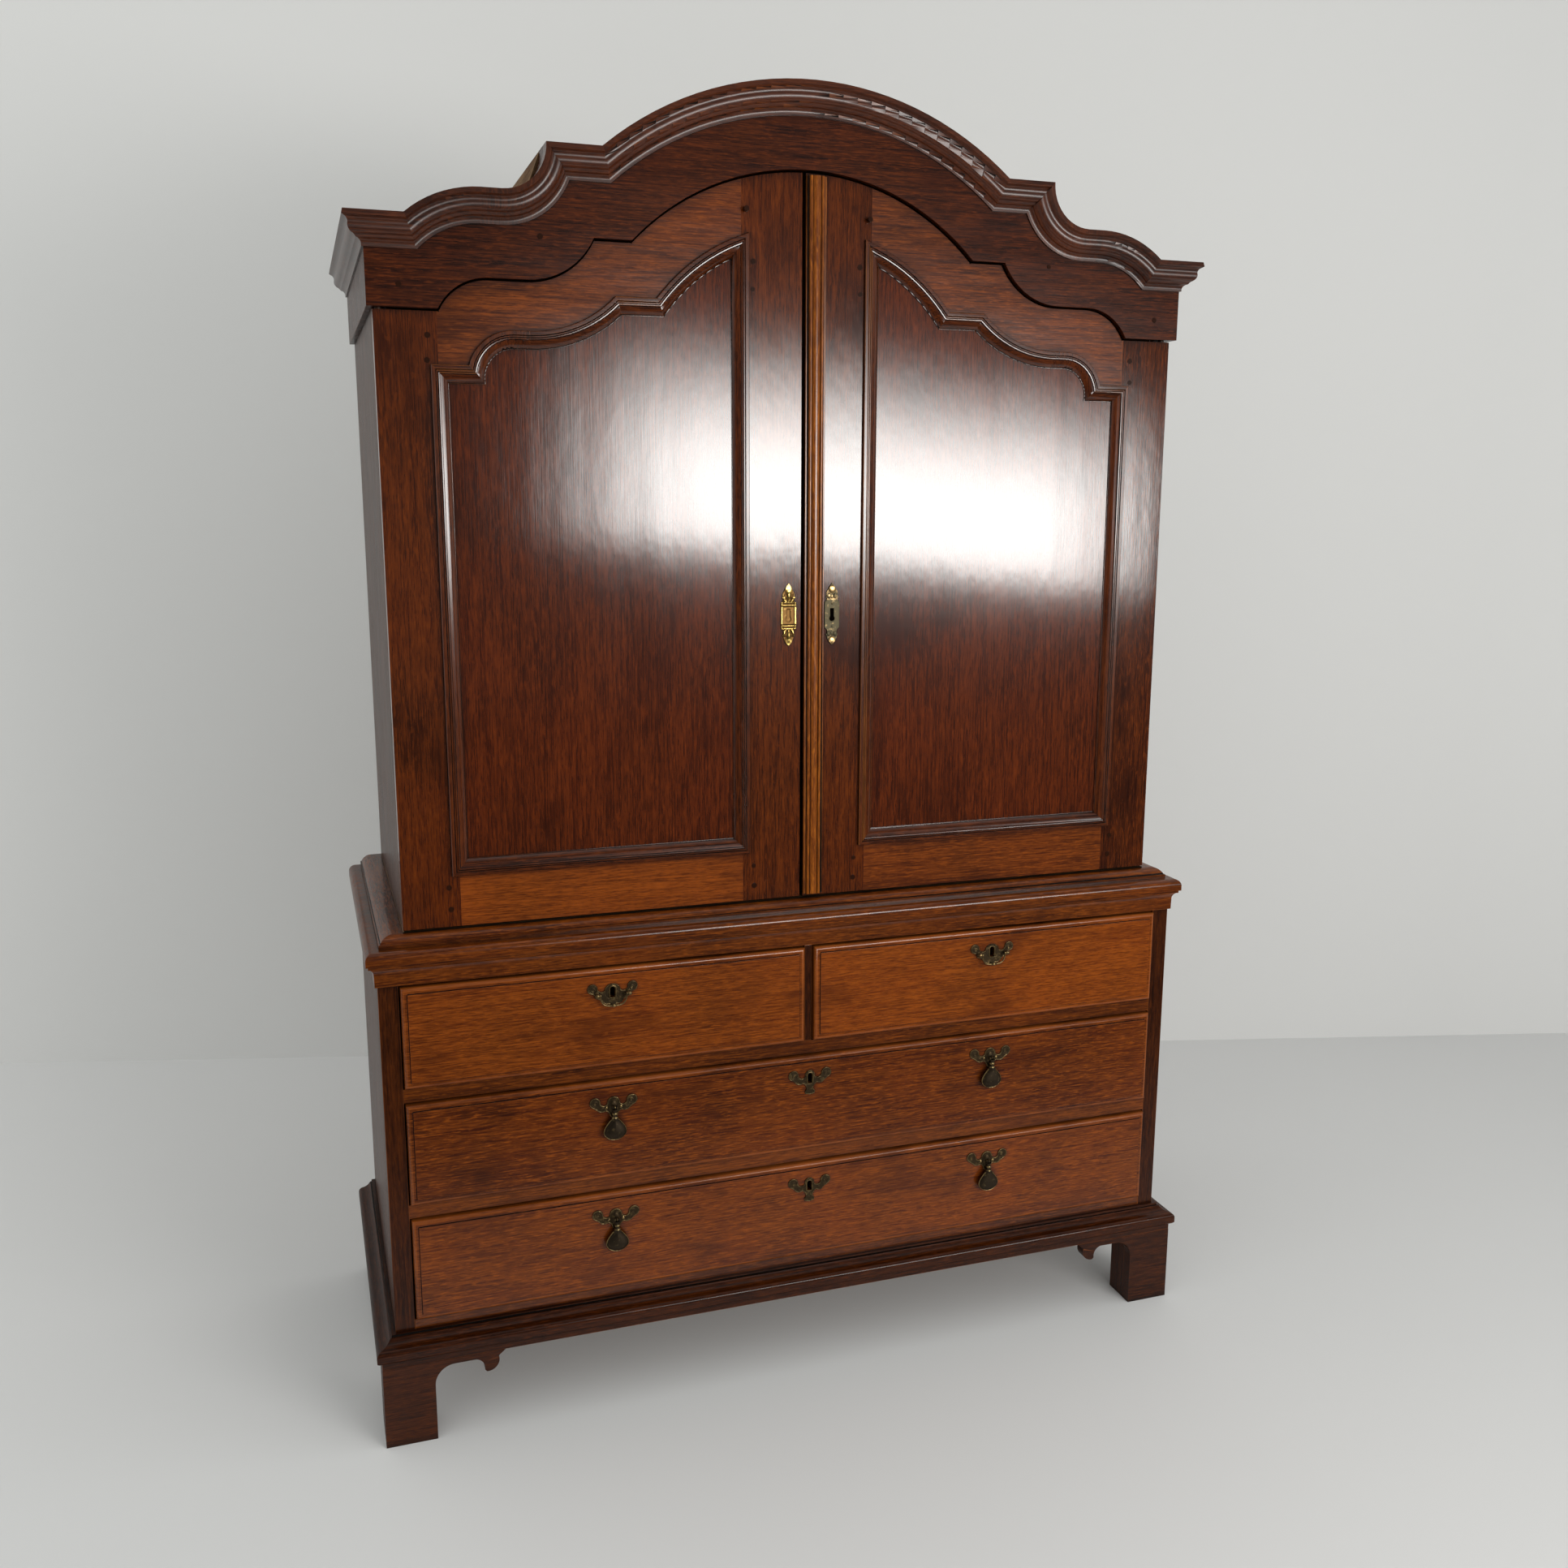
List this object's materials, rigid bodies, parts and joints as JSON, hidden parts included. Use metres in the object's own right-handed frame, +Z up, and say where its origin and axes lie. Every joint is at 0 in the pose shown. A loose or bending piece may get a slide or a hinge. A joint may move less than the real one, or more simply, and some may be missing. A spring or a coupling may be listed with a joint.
{
  "type": "linen press",
  "caption": "Oak linen press: a chest of drawers on bracket feet carries a cupboard with arched panelled doors, shaped frieze and cornice.",
  "frame": {"origin": "centre of the footprint, on the floor", "axes": "+Z up, -Y out of the front, +X to the right seen from the front"},
  "size_m": [1.5494, 0.6338, 2.2407],
  "materials": {
    "oak_case": "waxed dark red-brown oak",
    "oak_door": "waxed dark red-brown oak",
    "oak_drawer": "waxed orange-brown oak",
    "oak_plain": "bare aged oak",
    "door_brass": "worn brass",
    "dark_brass": "aged dark brass",
    "iron": "forged iron, dark"
  },
  "bodies": {
    "case": {"base_frame": "oak_case", "chest_back_boards": "oak_plain", "chest_bottom": "oak_plain", "chest_front_frame": "oak_case", "chest_sides": "oak_case", "chest_top": "oak_case", "cornice_moulding": "oak_case", "cupboard_back_boards": "oak_plain", "cupboard_ceiling": "oak_plain", "cupboard_floor": "oak_plain", "cupboard_sides": "oak_case", "drawer_runners": "oak_plain", "frieze": "oak_case", "front_feet": "oak_case", "head_rail": "oak_plain", "hinge_pins": "iron", "plinth_moulding": "oak_case", "rear_feet": "oak_case", "retaining_moulding": "oak_case", "roof_boards": "oak_plain", "shelf_bearers": "oak_plain", "shelves": "oak_plain", "waist_moulding": "oak_case"},
    "left_door": {"left_door_escutcheon": "door_brass", "left_door_ironwork": "iron", "left_door_panel": "oak_door", "left_door_panel_moulding": "oak_door", "left_door_rails": "oak_door", "left_door_stiles": "oak_door"},
    "right_door": {"right_door_astragal": "oak_door", "right_door_escutcheon": "door_brass", "right_door_ironwork": "iron", "right_door_panel": "oak_door", "right_door_panel_moulding": "oak_door", "right_door_rails": "oak_door", "right_door_stiles": "oak_door"},
    "short_drawer_left": {"short_drawer_left_box": "oak_plain", "short_drawer_left_fittings": "dark_brass", "short_drawer_left_front": "oak_drawer"},
    "short_drawer_right": {"short_drawer_right_box": "oak_plain", "short_drawer_right_fittings": "dark_brass", "short_drawer_right_front": "oak_drawer"},
    "long_drawer_upper": {"long_drawer_upper_box": "oak_plain", "long_drawer_upper_fittings": "dark_brass", "long_drawer_upper_front": "oak_drawer"},
    "long_drawer_lower": {"long_drawer_lower_box": "oak_plain", "long_drawer_lower_fittings": "dark_brass", "long_drawer_lower_front": "oak_drawer"},
    "left_door_surface_bolt": {"left_door_bolt": "iron"},
    "right_door_lock_slide": {"right_door_lock_bolt": "iron"},
    "short_bail_left": {"short_drawer_left_bail": "dark_brass"},
    "short_lock_left": {"short_drawer_left_lock_bolt": "iron"},
    "short_bail_right": {"short_drawer_right_bail": "dark_brass"},
    "short_lock_right": {"short_drawer_right_lock_bolt": "iron"},
    "long_lock_upper": {"long_drawer_upper_lock_bolt": "iron"},
    "long_upper_drop_left": {"long_drawer_upper_drop_left": "dark_brass"},
    "long_upper_drop_right": {"long_drawer_upper_drop_right": "dark_brass"},
    "long_lock_lower": {"long_drawer_lower_lock_bolt": "iron"},
    "long_lower_drop_left": {"long_drawer_lower_drop_left": "dark_brass"},
    "long_lower_drop_right": {"long_drawer_lower_drop_right": "dark_brass"}
  },
  "joints": [
    {"name": "left_door_hinge", "type": "hinge", "parent": "case", "child": "left_door", "pos_m": [-0.6855, -0.24715, 0.893], "axis": [0, 0, -1], "range_deg": [0, 170]},
    {"name": "right_door_hinge", "type": "hinge", "parent": "case", "child": "right_door", "pos_m": [0.6855, -0.24715, 0.893], "axis": [0, 0, 1], "range_deg": [0, 170]},
    {"name": "short_drawer_left_slide", "type": "slide", "parent": "case", "child": "short_drawer_left", "axis": [0, -1, 0], "range_m": [0, 0.4]},
    {"name": "short_drawer_right_slide", "type": "slide", "parent": "case", "child": "short_drawer_right", "axis": [0, -1, 0], "range_m": [0, 0.4]},
    {"name": "long_drawer_upper_slide", "type": "slide", "parent": "case", "child": "long_drawer_upper", "axis": [0, -1, 0], "range_m": [0, 0.4]},
    {"name": "long_drawer_lower_slide", "type": "slide", "parent": "case", "child": "long_drawer_lower", "axis": [0, -1, 0], "range_m": [0, 0.4]},
    {"name": "left_door_bolt_slide", "type": "slide", "parent": "left_door", "child": "left_door_surface_bolt", "axis": [0, 0, 1], "range_m": [0, 0.012]},
    {"name": "right_door_lock_throw", "type": "slide", "parent": "right_door", "child": "right_door_lock_slide", "axis": [-1, 0, 0], "range_m": [0, 0.018]},
    {"name": "short_bail_left_swing", "type": "hinge", "parent": "short_drawer_left", "child": "short_bail_left", "pos_m": [-0.35755, -0.30535, 0.765], "axis": [-1, 0, 0], "range_deg": [0, 110]},
    {"name": "short_lock_left_throw", "type": "slide", "parent": "short_drawer_left", "child": "short_lock_left", "axis": [0, 0, 1], "range_m": [0, 0.009]},
    {"name": "short_bail_right_swing", "type": "hinge", "parent": "short_drawer_right", "child": "short_bail_right", "pos_m": [0.35755, -0.30535, 0.765], "axis": [-1, 0, 0], "range_deg": [0, 110]},
    {"name": "short_lock_right_throw", "type": "slide", "parent": "short_drawer_right", "child": "short_lock_right", "axis": [0, 0, 1], "range_m": [0, 0.009]},
    {"name": "long_lock_upper_throw", "type": "slide", "parent": "long_drawer_upper", "child": "long_lock_upper", "axis": [0, 0, 1], "range_m": [0, 0.009]},
    {"name": "long_upper_drop_left_swing", "type": "hinge", "parent": "long_drawer_upper", "child": "long_upper_drop_left", "pos_m": [-0.36, -0.30585, 0.562], "axis": [-1, 0, 0], "range_deg": [0, 100]},
    {"name": "long_upper_drop_right_swing", "type": "hinge", "parent": "long_drawer_upper", "child": "long_upper_drop_right", "pos_m": [0.36, -0.30585, 0.562], "axis": [-1, 0, 0], "range_deg": [0, 100]},
    {"name": "long_lock_lower_throw", "type": "slide", "parent": "long_drawer_lower", "child": "long_lock_lower", "axis": [0, 0, 1], "range_m": [0, 0.009]},
    {"name": "long_lower_drop_left_swing", "type": "hinge", "parent": "long_drawer_lower", "child": "long_lower_drop_left", "pos_m": [-0.36, -0.30585, 0.3535], "axis": [-1, 0, 0], "range_deg": [0, 100]},
    {"name": "long_lower_drop_right_swing", "type": "hinge", "parent": "long_drawer_lower", "child": "long_lower_drop_right", "pos_m": [0.36, -0.30585, 0.3535], "axis": [-1, 0, 0], "range_deg": [0, 100]}
  ]
}
